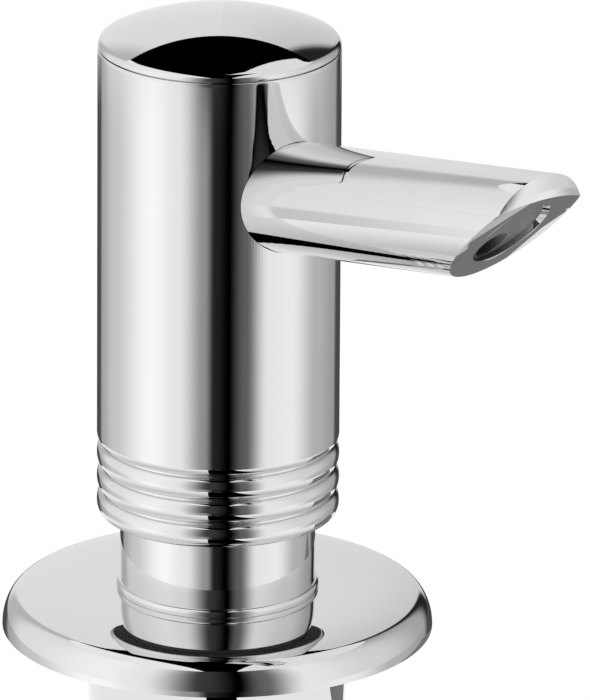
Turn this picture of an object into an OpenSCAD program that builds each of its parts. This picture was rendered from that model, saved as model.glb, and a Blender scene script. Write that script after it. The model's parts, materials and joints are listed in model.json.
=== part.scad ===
// Deck-mounted soap dispenser: a pump head with a rising spout stands on a
// crowned flange, and its pump, clamp parts and bottle hang below the deck.
// +Z is up, z = 0 is the top of the deck and the spout points along +X.

/* [Flange] */
// Diameter of the flange
flange_d = 57; // [56:0.5:64]
// Width of the flange's rounded rim
rim_w = 2.7; // [2:0.1:4]
// Height of the flange's rounded rim
rim_h = 4.4; // [3.8:0.1:4.8]
// Slope in degrees at which the flange's top runs out into its rim
rim_slope = 16; // [10:1:22]
// Power of the top's curve, larger for a flatter middle
crown_power = 3.5; // [2.5:0.1:4.5]
// Thickness of the gasket under the flange
gasket_t = 1.6; // [1.2:0.1:2.4]
// Width of the gasket
gasket_w = 4.4; // [3:0.1:4.8]
// How far the gasket is set back under the flange's edge
gasket_back = 4.9; // [4.5:0.1:5.5]

/* [Pump head] */
// Diameter of the pump head
head_d = 32; // [31:0.2:36]
// Height of the seam under the cap over the deck
seam_z = 82; // [80:0.5:95]
// Rise of the domed cap over its seam
dome_rise = 4.4; // [3:0.1:7]
// Radius of the cap's rounded edge
cap_edge = 1; // [0.5:0.1:1.2]
// Length of the cap's spigot inside the head
cap_spigot = 4; // [2:0.5:5]
// Number of beaded rings round the head's foot
ring_count = 3; // [2:1:3]
// Pitch of the rings
ring_pitch = 3.3; // [2.8:0.1:3.6]
// Depth of the grooves between the rings
groove_depth = 0.8; // [0.4:0.1:1.1]
// Height of the lowest ring's foot over the deck
foot_z = 17.5; // [16:0.5:18]
// Wall of the head's sleeve
sleeve_wall = 1.6; // [1.2:0.1:1.9]

/* [Neck] */
// Diameter of the neck above its bead
neck_d = 25.8; // [25.4:0.1:26.4]
// Diameter of the neck's spigot in the pump collar
guide_d = 24.2; // [23.6:0.1:24.4]
// Wall of the neck's spigot
neck_wall = 1.1; // [0.8:0.1:1.6]
// Height of the bead
bead_h = 1.1; // [0.8:0.1:1.6]
// How far the bead stands out from the neck
bead_out = 0.5; // [0.4:0.05:0.8]
// Depth of the neck below the deck
neck_depth = 12; // [10:0.5:13]

/* [Spout] */
// Diameter of the spout
spout_d = 14.8; // [13.6:0.2:15.6]
// Rise of the spout in degrees
spout_rise = 10.4; // [0:0.2:12]
// Height of the spout's axis where it crosses the head's axis
spout_z = 62.4; // [60:0.2:64]
// Reach of the nose from the head's axis
spout_reach = 68.2; // [60:0.2:90]
// Radius of the rounded nose seen from above
nose_r = 16.6; // [10:0.2:24]
// How far the mouth's centre lies behind the nose
mouth_back = 5.8; // [4:0.2:8]
// Slope of the mouth's face in degrees
mouth_slope = 42.6; // [36:0.2:50]
// Diameter of the spout's passage
passage_d = 8.4; // [6:0.2:9]
// How far the passage lies below the spout's axis
passage_drop = 0.9; // [0.4:0.1:1.6]
// Diameter of the bore in the liner that closes the mouth
liner_bore = 3.4; // [2.4:0.2:5]
// Wall of the liner under its bore
liner_wall = 0.6; // [0.5:0.1:1.2]
// Length of the liner
liner_len = 20; // [10:1:30]
// How far the liner's end lies inside the mouth
liner_recess = 0.8; // [0.4:0.1:2]

/* [Pump] */
// Stroke of the pump
stroke = 6.5; // [4:0.1:6.5]
// Bore of the pump cylinder
cylinder_bore = 18; // [15:0.5:19]
// Wall of the pump cylinder
cylinder_wall = 1.6; // [1.2:0.1:2]
// Diameter of the hollow stem
stem_d = 8; // [7:0.1:9]
// Length of the stem inside the head
stem_socket = 14; // [10:0.5:16]
// Bore of the hollow stem
stem_bore = 3.2; // [2.4:0.1:3.6]
// Height of the piston
piston_h = 6; // [5:0.5:8]
// Length of the return spring at rest
spring_len = 18; // [16:0.5:24]
// Mean diameter of the return spring
spring_d = 12.4; // [12:0.2:13]
// Wire diameter of the return spring
wire_d = 1.2; // [0.8:0.1:1.4]
// Turns of the return spring
spring_turns = 6; // [4:1:6]
// Diameter of the inlet ball
inlet_ball_d = 5.2; // [4.6:0.1:5.2]
// Diameter of the outlet ball
outlet_ball_d = 4.4; // [4:0.1:4.6]
// Lift of both valve balls
ball_lift = 1.2; // [0.8:0.1:1.5]
// Diameter of the dip tube
dip_d = 6.4; // [5:0.2:7]
// How far the dip tube's end stays over the bottle's floor
dip_clear = 4; // [2:0.5:10]
// Wall of the dip tube
dip_wall = 1; // [0.6:0.1:1.2]

/* [Shank and clamp] */
// Thickness of the deck that is clamped
deck_t = 20; // [6:1:22]
// Diameter of the shank over its thread
shank_d = 33; // [32.4:0.1:33.4]
// Wall of the shank
shank_wall = 2.55; // [2.2:0.05:2.8]
// Depth of the shank below the deck
shank_depth = 60; // [58:1:90]
// Depth of the flange's hub below the deck
hub_depth = 9; // [6:0.5:12]
// Diameter of the flange's hub
hub_d = 34.2; // [34:0.1:34.6]
// Thickness of the rubber washer
rubber_t = 2; // [1:0.5:3]
// Thickness of the steel washer
steel_t = 1.5; // [1:0.1:2]
// Diameter of both washers
washer_d = 48; // [44:0.5:54]
// Height of the nut
nut_h = 10; // [7:0.5:11]
// Size of the nut across its flats
nut_flats = 44; // [40:0.5:48]

/* [Bottle] */
// Diameter of the bottle
bottle_d = 66; // [56:1:80]
// Depth of the bottle's floor below the deck
bottle_depth = 176; // [150:1:240]
// Wall of the bottle
bottle_wall = 1.6; // [1:0.1:2.4]
// Length of the bottle's neck on the shank
bottle_grip = 20; // [14:0.5:20]
// Wall of the bottle's neck
bottle_neck_wall = 3; // [2:0.1:4]
// Height of the bottle's shoulder
shoulder_h = 15; // [10:0.5:24]
// Radius round the bottle's floor
floor_r = 5; // [3:0.5:8]
// Rise of the bottle's floor inside its foot ring
punt_h = 2; // [1:0.5:4]
// Width of the bottle's foot ring
foot_ring = 4; // [3:0.5:8]

/* [Fits] */
// Radial clearance of pieces that run in one another
run_gap = 0.05; // [0.02:0.01:0.08]
// Radial clearance of pieces that are pressed together
seat_gap = 0.02; // [0.01:0.01:0.03]
// Radial clearance round the shank
shank_gap = 0.25; // [0.1:0.05:0.3]

/* [Hidden] */

$fn = 96;
CHROME = "#c8c6c3";
GREY = "#8e8c8a";
WHITE = "#e9e7e2";
BLACK = "#2b2a2a";
BRASS = "#b59a5b";
STEEL = "#a9abad";

// Radii that several pieces share
flange_r = flange_d / 2;
head_r = head_d / 2;
neck_r = neck_d / 2;
guide_r = guide_d / 2;
stem_r = stem_d / 2;
spout_r = spout_d / 2;
passage_r = passage_d / 2;
shank_r = shank_d / 2;
shank_bore_r = shank_r - shank_wall;
hub_r = hub_d / 2;
sleeve_bore_r = head_r - sleeve_wall;

// Flange: its crown runs in to the hole that the pump collar hangs in
collar_r = neck_r + 0.15;
hole_r = collar_r + run_gap;
spigot_r = shank_r - 0.6;
land_z = 0.15;
gasket_out_r = flange_r - gasket_back;
gasket_in_r = gasket_out_r - gasket_w;
rim_turn = atan(rim_w / rim_h * tan(rim_slope));
crown_r = flange_r - rim_w * (1 - sin(rim_turn));
crown_rise = tan(rim_slope) * (crown_r - hole_r) / crown_power;
bead_z = gasket_t + rim_h * cos(rim_turn) + crown_rise;

// Collar and shank stack, downwards from the seal in the flange
seal_t = 1;
shank_top = -2.9;
seat_z = shank_top + seal_t;
collar_bore_r = guide_r + seat_gap;
cap_room = 8.5;
press_room = 1;
cap_t = 1.8;
cylinder_flange_t = 1.6;
collar_floor_t = 2;
cap_top = -neck_depth - cap_room;
cylinder_top = cap_top - cap_t;
collar_floor = cylinder_top - cylinder_flange_t;
collar_bottom = collar_floor - collar_floor_t;

// Pump stack, downwards from the cylinder's top
cylinder_r = cylinder_bore / 2;
cylinder_out_r = cylinder_r + cylinder_wall;
piston_top = cylinder_top - 0.3;
piston_bottom = piston_top - piston_h;
ring_groove = 0.9;
cage_flange_t = 1.2;
spring_seat = piston_bottom - spring_len;
cylinder_floor = spring_seat - cage_flange_t;
floor_t = 2.2;
nozzle_len = 10;
nozzle_wall = 2;
dip_r = dip_d / 2;
dip_top = cylinder_floor - floor_t - 0.6;
dip_bottom = -bottle_depth + bottle_wall + punt_h + dip_clear;
nozzle_bottom = cylinder_floor - floor_t - nozzle_len;

// Head: rings at the foot, then the plain sleeve up to the seam
rings_top = foot_z + ring_count * ring_pitch;
ledge_z = rings_top + 2.6;
neck_top = ledge_z - stroke - press_room;
seam_chamfer = 0.25;
core_flange_t = 3;
stem_top = ledge_z + stem_socket;
core_r = sleeve_bore_r - 3.4;
core_top = spout_z + 11.5;
channel_r = 2.6;
core_seal_d = 1.4;
core_seal_z = ledge_z + 1.6;

// Valve balls rest on 45 degree seats
inlet_r = inlet_ball_d / 2;
inlet_hole_r = inlet_r * 0.7;
inlet_seat = cylinder_floor - 1.5;
inlet_z = inlet_seat - inlet_hole_r + inlet_r * sqrt(2) + seat_gap;
cage_bore_r = inlet_r + 0.3;
cage_wall = 1.1;
cage_ceiling = inlet_z + inlet_r + ball_lift + 0.2;
outlet_r = outlet_ball_d / 2;
outlet_hole_r = stem_bore / 2;
outlet_well_r = outlet_r + 0.3;
outlet_seat = stem_top - ball_lift - outlet_r * (1 + sqrt(2)) + outlet_hole_r;
outlet_z = outlet_seat - outlet_hole_r + outlet_r * sqrt(2) + seat_gap;

// Spout: its own axis runs from the head's axis up to the nose
mouth_x = spout_reach - mouth_back;
mouth_along = mouth_x / cos(spout_rise);
mouth_z = spout_z + mouth_x * tan(spout_rise);
nose_x = spout_reach - nose_r;
spigot_from = 6;
shoulder_at = (core_r + 0.1 + spout_r * sin(spout_rise)) / cos(spout_rise);
spout_spigot_r = passage_r + 1.9;
throat_r = passage_r - 1.2;
spout_seal_d = 1.1;
spout_seal_at = (spigot_from + shoulder_at) / 2 - 0.6;
far = 200;

// Clamp and bottle, downwards from the deck
rubber_top = -deck_t;
steel_top = rubber_top - rubber_t;
nut_top = steel_top - steel_t;
bottle_neck_r = shank_r + shank_gap + bottle_neck_wall;
bottle_seal_t = 1.5;
bottle_ledge = -shank_depth - bottle_seal_t;
bottle_mouth_r = shank_bore_r + 0.2;
neck_foot = bottle_ledge - 2.4;
bottle_r = bottle_d / 2;
punt_r = bottle_r - floor_r - foot_ring;

// Least gap between neighbouring turns of the return spring's wire
spring_pitch = (spring_len - wire_d) / spring_turns;
spring_gap = spring_pitch * cos(atan(spring_pitch / (PI * spring_d))) - wire_d;
echo(str("least gap between the spring's turns: ", spring_gap, " mm"));

// Height of the flange's top at radius r, flat at its hole and falling to the rim's slope
function crown(r) = bead_z - crown_rise * pow((r - hole_r) / (crown_r - hole_r), crown_power);

// Point on the flange's rim, a quarter of an ellipse that is upright at a = 90
function rim(a) = [flange_r - rim_w * (1 - sin(a)), gasket_t + rim_h * cos(a)];

// Points of one rounded bead of the given radius, height and bulge, upwards
function bead(r, z, h, bulge) =
    [for (a = [-90:15:90]) [r + bulge * cos(a), z + h / 2 * (1 + sin(a))]];

// Spun solid of an outline given as radius and height
module turned(outline) {
    rotate_extrude() polygon(outline);
}

// Plain tube between two heights
module tube(r_out, r_in, z_low, z_high) {
    translate([0, 0, z_low]) difference() {
        cylinder(r = r_out, h = z_high - z_low);
        translate([0, 0, -1]) cylinder(r = r_in, h = z_high - z_low + 2);
    }
}

// Round sealing ring that lies on its side
module sealing_ring(r_mid, d, z) {
    translate([0, 0, z]) rotate_extrude() translate([r_mid, 0]) circle(d = d, $fn = 24);
}

// Turns a piece built along +Z to run along the spout
module along_spout() {
    translate([0, 0, spout_z]) rotate([0, 90 - spout_rise, 0]) children();
}

// Everything under a plane that is parallel to the mouth's face
module below_mouth(inset) {
    translate([mouth_x, 0, mouth_z]) rotate([0, -mouth_slope, 0])
        translate([-far, -far, inset - far]) cube([2 * far, 2 * far, far]);
}

// Everything that lies behind the spout's rounded nose
module behind_nose() {
    translate([nose_x, 0, 0]) cylinder(r = nose_r, h = far);
    translate([-far, -far, 0]) cube([far + nose_x, 2 * far, far]);
}

module escutcheon() {
    color(CHROME) turned(concat(
        [for (i = [0:14]) rim(90 + (rim_turn - 90) * i / 14)],
        [for (i = [1:9]) let (r = crown_r + (hole_r - crown_r) * i / 9) [r, crown(r)]],
        [[hole_r, seat_z], [spigot_r + seat_gap, seat_z], [spigot_r + seat_gap, -hub_depth],
         [hub_r, -hub_depth], [hub_r, land_z], [gasket_in_r, land_z], [gasket_in_r, gasket_t]]));
}

module deck_gasket() {
    color(BLACK) tube(gasket_out_r, gasket_in_r + seat_gap, 0, gasket_t);
}

module threaded_shank() {
    color(BRASS) turned([[shank_bore_r, shank_top], [shank_bore_r, -shank_depth],
        [shank_r - 0.8, -shank_depth], [shank_r, -shank_depth + 0.8], [shank_r, -hub_depth],
        [spigot_r, -hub_depth], [spigot_r, shank_top]]);
}

module rubber_washer() {
    color(BLACK) tube(washer_d / 2, shank_r + shank_gap, steel_top, rubber_top);
}

module steel_washer() {
    color(STEEL) tube(washer_d / 2, shank_r + shank_gap, nut_top, steel_top);
}

module mounting_nut() {
    color(BRASS) translate([0, 0, nut_top - nut_h]) difference() {
        intersection() {
            cylinder(d = nut_flats / cos(30), h = nut_h, $fn = 6);
            turned([[0, 0], [nut_flats / 2 + 0.6, 0], [nut_flats / 2 + 3, 1.6],
                [nut_flats / 2 + 3, nut_h], [0, nut_h]]);
        }
        translate([0, 0, -1]) cylinder(r = shank_r + shank_gap, h = nut_h + 2);
    }
}

// Outline of the bottle from its neck to its floor, drawn in by an inset
function bottle_side(inset) = concat(
    [for (i = [0:8]) let (t = i / 8)
        [bottle_neck_r - inset + (bottle_r - bottle_neck_r) * t * t * (3 - 2 * t),
         neck_foot - inset - shoulder_h * t]],
    [for (a = [0:22.5:90]) [bottle_r - inset - floor_r * (1 - cos(a)),
        -bottle_depth + inset + floor_r * (1 - sin(a))]],
    [[punt_r, -bottle_depth + inset], [punt_r - 2 * punt_h, -bottle_depth + inset + punt_h],
     [0, -bottle_depth + inset + punt_h]]);

module bottle() {
    color(WHITE) difference() {
        turned(concat([[0, -shank_depth + bottle_grip], [bottle_neck_r, -shank_depth + bottle_grip]],
            bottle_side(0)));
        turned(concat([[0, neck_foot - bottle_wall]], bottle_side(bottle_wall)));
        translate([0, 0, neck_foot - bottle_wall - 1]) cylinder(r = bottle_mouth_r, h = shank_depth);
        translate([0, 0, bottle_ledge]) cylinder(r = shank_r + shank_gap, h = shank_depth);
    }
}

module bottle_seal() {
    color(BLACK) tube(shank_r, bottle_mouth_r, bottle_ledge, -shank_depth);
}

module pump_collar() {
    color(GREY) turned([[collar_bore_r, bead_z], [collar_bore_r, collar_floor],
        [cylinder_out_r + seat_gap, collar_floor], [cylinder_out_r + seat_gap, collar_bottom],
        [collar_r, collar_bottom], [collar_r, bead_z]]);
}

module collar_seal() {
    color(BLACK) tube(spigot_r, collar_r + run_gap, shank_top, seat_z);
}

module pump_cylinder() {
    flange_out_r = collar_bore_r - seat_gap;
    color(WHITE) turned([[cylinder_r, cylinder_top], [cylinder_r, cylinder_floor],
        [inlet_hole_r + 1.5, cylinder_floor], [inlet_hole_r, inlet_seat],
        [inlet_hole_r, dip_top], [dip_r + seat_gap, dip_top], [dip_r + seat_gap, nozzle_bottom],
        [dip_r + nozzle_wall, nozzle_bottom], [dip_r + nozzle_wall, cylinder_floor - floor_t],
        [cylinder_out_r - 1, cylinder_floor - floor_t], [cylinder_out_r, cylinder_floor - floor_t + 1],
        [cylinder_out_r, collar_floor], [flange_out_r, collar_floor], [flange_out_r, cylinder_top]]);
}

module cylinder_cap() {
    color(GREY) tube(collar_bore_r - seat_gap, stem_r + run_gap, cylinder_top, cap_top);
}

module ball_cage() {
    cage_out_r = cage_bore_r + cage_wall;
    window = 2;
    color(WHITE) difference() {
        turned([[cage_bore_r, cylinder_floor], [cylinder_r - seat_gap, cylinder_floor],
            [cylinder_r - seat_gap, spring_seat], [cage_out_r, spring_seat],
            [cage_out_r, cage_ceiling + cage_wall], [cage_bore_r - 1, cage_ceiling + cage_wall],
            [cage_bore_r - 1, cage_ceiling], [cage_bore_r, cage_ceiling]]);
        for (a = [0, 90]) rotate(a) translate([-cage_out_r, -window / 2, spring_seat + 0.6])
            cube([2 * cage_out_r, window, cage_ceiling - spring_seat - 0.6]);
    }
}

module inlet_ball() {
    color(STEEL) translate([0, 0, inlet_z]) sphere(r = inlet_r);
}

// One unbroken wire, wound round the stem's axis from the cage up to the piston
module return_spring() {
    sides = 6;
    steps = 16 * spring_turns;
    low = spring_seat + wire_d / 2;
    ring = [for (i = [0:steps]) let (a = 360 * i / 16) [for (k = [0:sides - 1])
        let (b = 360 * k / sides, r = spring_d / 2 + wire_d / 2 * cos(b))
        [r * cos(a), r * sin(a), low + spring_pitch * i / 16 + wire_d / 2 * sin(b)]]];
    points = [for (r = ring) for (p = r) p];
    sleeve = [for (i = [0:steps - 1]) for (k = [0:sides - 1]) let (m = (k + 1) % sides)
        each [[i * sides + k, i * sides + m, (i + 1) * sides + k],
            [i * sides + m, (i + 1) * sides + m, (i + 1) * sides + k]]];
    foot = [for (k = [1:sides - 2]) [0, k + 1, k]];
    head = [for (k = [1:sides - 2]) [steps * sides, steps * sides + k, steps * sides + k + 1]];
    color(STEEL) polyhedron(points, concat(sleeve, foot, head));
}

module dip_tube() {
    color(WHITE) tube(dip_r, dip_r - dip_wall, dip_bottom, dip_top);
}

module piston_stem() {
    color(WHITE) turned([[outlet_hole_r, piston_bottom], [stem_r, piston_bottom],
        [stem_r, stem_top], [outlet_well_r, stem_top],
        [outlet_well_r, outlet_seat + outlet_well_r - outlet_hole_r], [outlet_hole_r, outlet_seat]]);
}

module piston() {
    piston_r = cylinder_r - run_gap;
    groove_r = piston_r - ring_groove;
    groove_z = (piston_top + piston_bottom) / 2;
    color(GREY) turned([[stem_r + seat_gap, piston_bottom], [piston_r, piston_bottom],
        [piston_r, groove_z - ring_groove], [groove_r, groove_z - ring_groove],
        [groove_r, groove_z + ring_groove], [piston_r, groove_z + ring_groove],
        [piston_r, piston_top], [stem_r + seat_gap, piston_top]]);
}

module piston_ring() {
    groove_z = (piston_top + piston_bottom) / 2;
    color(BLACK) tube(cylinder_r - 0.02, cylinder_r - run_gap - ring_groove + seat_gap,
        groove_z - ring_groove + seat_gap, groove_z + ring_groove - seat_gap);
}

module outlet_ball() {
    color(STEEL) translate([0, 0, outlet_z]) sphere(r = outlet_r);
}

module neck_skirt() {
    bead_r = neck_r + bead_out;
    color(CHROME) turned(concat(
        [[guide_r - neck_wall, neck_top], [guide_r - neck_wall, -neck_depth],
         [guide_r, -neck_depth], [guide_r, bead_z], [bead_r - 0.1, bead_z], [bead_r, bead_z + 0.1]],
        [for (a = [0:15:90]) [neck_r + bead_out * cos(a), bead_z + bead_h * (0.4 + 0.6 * sin(a))]],
        [[neck_r, neck_top]]));
}

module head_sleeve() {
    groove_r = head_r - groove_depth;
    flat = 0.15;
    color(CHROME) difference() {
        turned(concat(
            [[neck_r + run_gap, foot_z + flat]],
            [for (i = [0:ring_count - 1]) each
                bead(groove_r, foot_z + i * ring_pitch + flat, ring_pitch - 2 * flat, groove_depth)],
            [for (a = [-90:15:0]) [groove_r + groove_depth * cos(a),
                rings_top + flat + 1.2 * (1 + sin(a))]],
            [[head_r, seam_z - seam_chamfer], [head_r - seam_chamfer, seam_z],
             [sleeve_bore_r, seam_z], [sleeve_bore_r, ledge_z], [neck_r + run_gap, ledge_z]]));
        along_spout() cylinder(r = spout_r + seat_gap, h = 2 * head_r);
    }
}

module dome_cap() {
    edge_turn = 64;
    edge_r = head_r - 0.05 - cap_edge * (1 - cos(edge_turn));
    arc_h = dome_rise - seam_chamfer - cap_edge * sin(edge_turn);
    ball_r = (edge_r * edge_r + arc_h * arc_h) / (2 * arc_h);
    half = asin(edge_r / ball_r);
    plug_r = sleeve_bore_r - seat_gap;
    color(CHROME) turned(concat(
        [[0, seam_z], [plug_r - sleeve_wall, seam_z], [plug_r - sleeve_wall, seam_z - cap_spigot],
         [plug_r, seam_z - cap_spigot], [plug_r, seam_z], [head_r - seam_chamfer, seam_z]],
        [for (a = [0:16:edge_turn - 1]) [head_r - 0.05 - cap_edge * (1 - cos(a)),
            seam_z + seam_chamfer + cap_edge * sin(a)]],
        [for (i = [0:10]) let (a = half * (1 - i / 10))
            [ball_r * sin(a), seam_z + dome_rise - ball_r * (1 - cos(a))]]));
}

module flow_core() {
    socket_r = stem_r + run_gap;
    ceiling = stem_top + 0.2;
    color(WHITE) difference() {
        union() {
            translate([0, 0, ledge_z]) cylinder(r = sleeve_bore_r - seat_gap, h = core_flange_t);
            translate([0, 0, ledge_z]) cylinder(r = core_r, h = core_top - ledge_z);
        }
        translate([0, 0, ledge_z - 1]) cylinder(r = socket_r, h = ceiling - ledge_z + 1);
        tube(stem_r + core_seal_d + seat_gap, stem_r, core_seal_z - core_seal_d / 2 - seat_gap,
            core_seal_z + core_seal_d / 2 + seat_gap);
        translate([0, 0, ceiling - 1]) cylinder(r = outlet_r - 0.5, h = spout_z - ceiling + 1);
        along_spout() cylinder(r = channel_r, h = spigot_from + 1);
        along_spout() translate([0, 0, spigot_from]) cylinder(r = spout_spigot_r + seat_gap, h = head_r);
    }
}

module core_seal() {
    color(BLACK) sealing_ring(stem_r + run_gap / 2 + core_seal_d / 2, core_seal_d - run_gap, core_seal_z);
}

module spout() {
    color(CHROME) difference() {
        intersection() {
            along_spout() union() {
                translate([0, 0, spigot_from]) cylinder(r = spout_spigot_r, h = head_r);
                translate([0, 0, shoulder_at]) cylinder(r = spout_r, h = far);
            }
            behind_nose();
        }
        below_mouth(0);
        along_spout() {
            translate([passage_drop, 0, shoulder_at + 3]) cylinder(r = passage_r, h = far);
            cylinder(r = throat_r, h = shoulder_at + 4);
            translate([0, 0, spout_seal_at]) tube(spout_spigot_r + 1, spout_spigot_r - spout_seal_d,
                -spout_seal_d / 2 - seat_gap, spout_seal_d / 2 + seat_gap);
        }
    }
}

module spout_seal() {
    color(BLACK) along_spout()
        sealing_ring(spout_spigot_r - spout_seal_d / 2, spout_seal_d - 2 * seat_gap, spout_seal_at);
}

// Plug in the mouth, with its bore along its lower side
module outlet_liner() {
    bore_drop = passage_r - liner_wall - liner_bore / 2;
    color(GREY) difference() {
        along_spout() translate([passage_drop, 0, mouth_along - liner_len]) difference() {
            cylinder(r = passage_r - seat_gap, h = liner_len + 20);
            translate([bore_drop, 0, -1]) cylinder(d = liner_bore, h = liner_len + 22);
        }
        below_mouth(liner_recess);
    }
}

escutcheon();
deck_gasket();
threaded_shank();
rubber_washer();
steel_washer();
mounting_nut();
bottle();
bottle_seal();
pump_collar();
collar_seal();
pump_cylinder();
cylinder_cap();
ball_cage();
inlet_ball();
return_spring();
dip_tube();
piston_stem();
piston();
piston_ring();
outlet_ball();
neck_skirt();
head_sleeve();
dome_cap();
flow_core();
core_seal();
spout();
spout_seal();
outlet_liner();
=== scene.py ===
# %% [markdown]
# # A deck-mounted soap dispenser, dressed over its CAD frame
# The CAD frame already holds every piece at its place: a chromed pump head with a rising spout on a crowned flange,
# and the shank, nut, pump and bottle that hang below the deck. This lesson models the pieces again with Blender's own
# tools, so that the chrome shows smooth curves and fine edges, and gives each one a finish made of nodes.

# %% Load the frame
import json
import math

import bmesh
import bpy
from mathutils import Matrix, Vector


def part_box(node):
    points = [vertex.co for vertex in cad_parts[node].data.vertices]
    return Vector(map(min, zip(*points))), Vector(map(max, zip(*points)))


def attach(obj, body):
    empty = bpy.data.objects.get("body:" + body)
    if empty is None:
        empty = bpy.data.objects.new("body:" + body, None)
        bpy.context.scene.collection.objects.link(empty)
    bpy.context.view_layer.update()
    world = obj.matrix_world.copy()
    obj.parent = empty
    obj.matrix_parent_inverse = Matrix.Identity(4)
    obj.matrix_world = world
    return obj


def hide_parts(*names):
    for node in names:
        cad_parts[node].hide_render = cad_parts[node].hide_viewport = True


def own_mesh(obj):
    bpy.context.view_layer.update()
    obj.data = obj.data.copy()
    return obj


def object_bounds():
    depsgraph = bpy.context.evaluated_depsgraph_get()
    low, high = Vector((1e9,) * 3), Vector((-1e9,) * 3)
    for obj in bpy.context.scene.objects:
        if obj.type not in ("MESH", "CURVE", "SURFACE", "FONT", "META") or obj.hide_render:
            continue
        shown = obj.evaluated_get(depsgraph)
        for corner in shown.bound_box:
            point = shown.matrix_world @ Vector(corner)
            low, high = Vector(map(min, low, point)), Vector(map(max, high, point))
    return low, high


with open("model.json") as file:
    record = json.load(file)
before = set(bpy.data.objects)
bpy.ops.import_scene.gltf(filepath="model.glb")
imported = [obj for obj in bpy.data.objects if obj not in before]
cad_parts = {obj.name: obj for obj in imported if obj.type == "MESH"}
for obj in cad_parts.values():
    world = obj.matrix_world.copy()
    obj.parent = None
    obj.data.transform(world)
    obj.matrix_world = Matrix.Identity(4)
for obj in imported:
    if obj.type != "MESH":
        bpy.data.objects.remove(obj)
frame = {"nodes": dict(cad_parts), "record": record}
cad_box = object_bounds()
MM = 0.001

# %% [markdown]
# ## The camera
# The picture is taken with a long lens from about twenty degrees above the deck, with the spout pointing to the right
# and towards the lens. A long lens far away keeps the head's sides parallel. The camera could be aimed with a
# constraint, but turns given as plain angles are easier to correct: first the way round, then the tilt, then a little
# roll.

# %% Camera
SIDE = math.radians(52.0)
RISE = math.radians(20.294)
TILT = math.radians(90 - 19.205)
ROLL = math.radians(0.35)
AIM = Vector((0, 0, 0.0016))
DISTANCE, SHIFT = 1.9022, 0.01008
FOCAL_LENGTH, SENSOR_WIDTH = 737.6, 36
towards = Vector((math.sin(SIDE) * math.cos(RISE), -math.cos(SIDE) * math.cos(RISE), math.sin(RISE)))
rightwards = Vector((math.cos(SIDE), math.sin(SIDE), 0))

bpy.ops.object.select_all(action="DESELECT")
bpy.ops.object.camera_add(location=AIM + DISTANCE * towards + SHIFT * rightwards)
camera = bpy.context.object
turn_round = Matrix.Rotation(SIDE, 3, "Z") @ Matrix.Rotation(TILT, 3, "X") @ Matrix.Rotation(ROLL, 3, "Z")
camera.rotation_euler = turn_round.to_euler()
camera.data.lens = FOCAL_LENGTH
camera.data.sensor_width = SENSOR_WIDTH
bpy.context.scene.camera = camera
bpy.context.scene.view_settings.view_transform = "Standard"
print("camera at", [round(x, 3) for x in camera.location])

# %% [markdown]
# ## Node groups for the finishes
# Three surface effects come back in several finishes: the faint cloudiness of polished plating, the fine grain of
# moulded plastic and rubber, and the lines that a lathe leaves on brass and steel. Each is built once as a node group
# with named sockets. A group only hands out colours, roughness and heights, and the shader itself stays in the
# material.

# %% Helpers for node trees
def add_node(tree, kind, **values):
    """Adds a node, sets its own settings, and sets the rest of the values on its input sockets."""
    node = tree.nodes.new(kind)
    for name, value in values.items():
        if name in node.bl_rna.properties:
            setattr(node, name, value)
        else:
            node.inputs[name.replace("_", " ")].default_value = value
    return node


def new_group(name, inputs, outputs):
    """An empty shader node group with its named sockets, and its two end nodes."""
    group = bpy.data.node_groups.new(name, "ShaderNodeTree")
    for side, sockets in (("INPUT", inputs), ("OUTPUT", outputs)):
        for socket, kind in sockets.items():
            group.interface.new_socket(name=socket, in_out=side, socket_type="NodeSocket" + kind)
    return group, group.nodes.new("NodeGroupInput"), group.nodes.new("NodeGroupOutput")


print("node helpers ready")

# %% Polish haze
haze, given, handed = new_group(
    "polish_haze",
    {"Place": "Vector", "Tint": "Color", "Shine": "Float"},
    {"Colour": "Color", "Roughness": "Float"})
cloud = add_node(haze, "ShaderNodeTexNoise", Scale=70.0, Detail=3.0)
speck = add_node(haze, "ShaderNodeTexNoise", Scale=1400.0, Detail=2.0)
darker = add_node(haze, "ShaderNodeMix", data_type="RGBA", blend_type="MULTIPLY")
darker.inputs["B"].default_value = (0.965, 0.965, 0.97, 1)
spread = add_node(haze, "ShaderNodeMath", operation="MULTIPLY_ADD")
spread.inputs[1].default_value = 0.022
for source, target in (
        (given.outputs["Place"], cloud.inputs["Vector"]),
        (given.outputs["Place"], speck.inputs["Vector"]),
        (cloud.outputs["Fac"], darker.inputs["Factor"]),
        (given.outputs["Tint"], darker.inputs["A"]),
        (speck.outputs["Fac"], spread.inputs[0]),
        (given.outputs["Shine"], spread.inputs[2]),
        (darker.outputs["Result"], handed.inputs["Colour"]),
        (spread.outputs["Value"], handed.inputs["Roughness"])):
    haze.links.new(source, target)
print("polish_haze:", len(haze.nodes), "nodes")

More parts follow.
